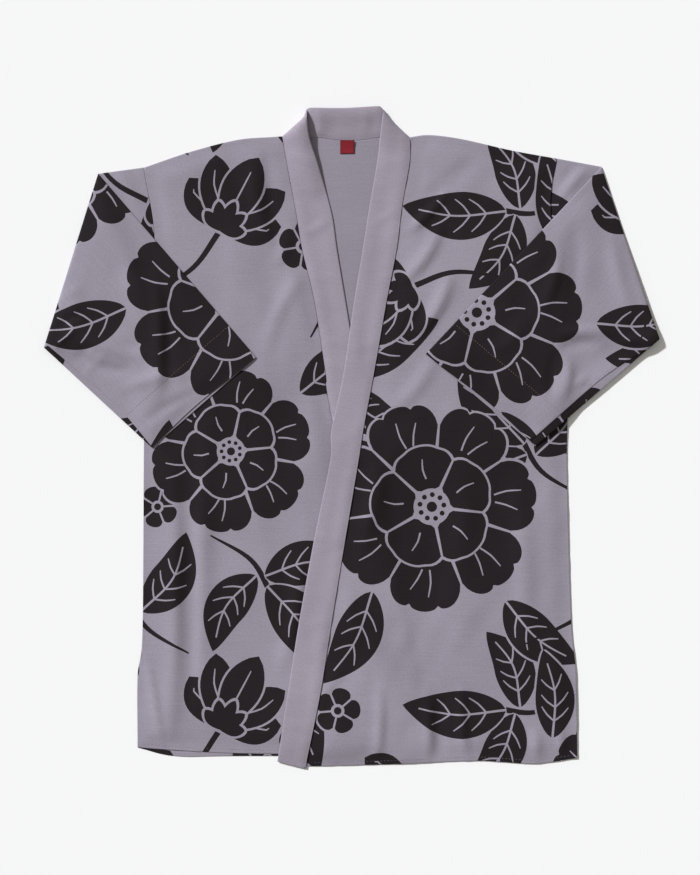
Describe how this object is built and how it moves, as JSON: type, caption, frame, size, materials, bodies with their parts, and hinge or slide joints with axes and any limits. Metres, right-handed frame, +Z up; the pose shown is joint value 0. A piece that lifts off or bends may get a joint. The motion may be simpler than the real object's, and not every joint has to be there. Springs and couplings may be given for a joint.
{
  "type": "haori",
  "caption": "Open kimono jacket laid flat on its back, sleeves folded in over the fronts, plain collar band from neck to hem and a dark floral print on lilac grey.",
  "frame": {"origin": "on the surface that the back rests on, at the middle of the laid-out coat's outline", "axes": "+Z up from the surface, +Y towards the collar, +X towards the wearer's left"},
  "size_m": [0.8897, 0.956, 0.0125],
  "materials": {
    "printed_cloth": "smooth plain-woven cloth, lilac grey with a near-black print, faint sheen",
    "collar_cloth": "the same lilac grey cloth unprinted, folded double",
    "label_cloth": "dark red woven satin label, plain",
    "sewing_thread": "fine lilac grey sewing thread"
  },
  "bodies": {
    "root": {"back": "printed_cloth", "front_right": "printed_cloth", "front_left": "printed_cloth", "sleeve_right": "printed_cloth", "sleeve_left": "printed_cloth", "collar_right": "collar_cloth", "collar_left": "collar_cloth", "collar_neck": "collar_cloth", "neck_label": "label_cloth"}
  },
  "joints": []
}
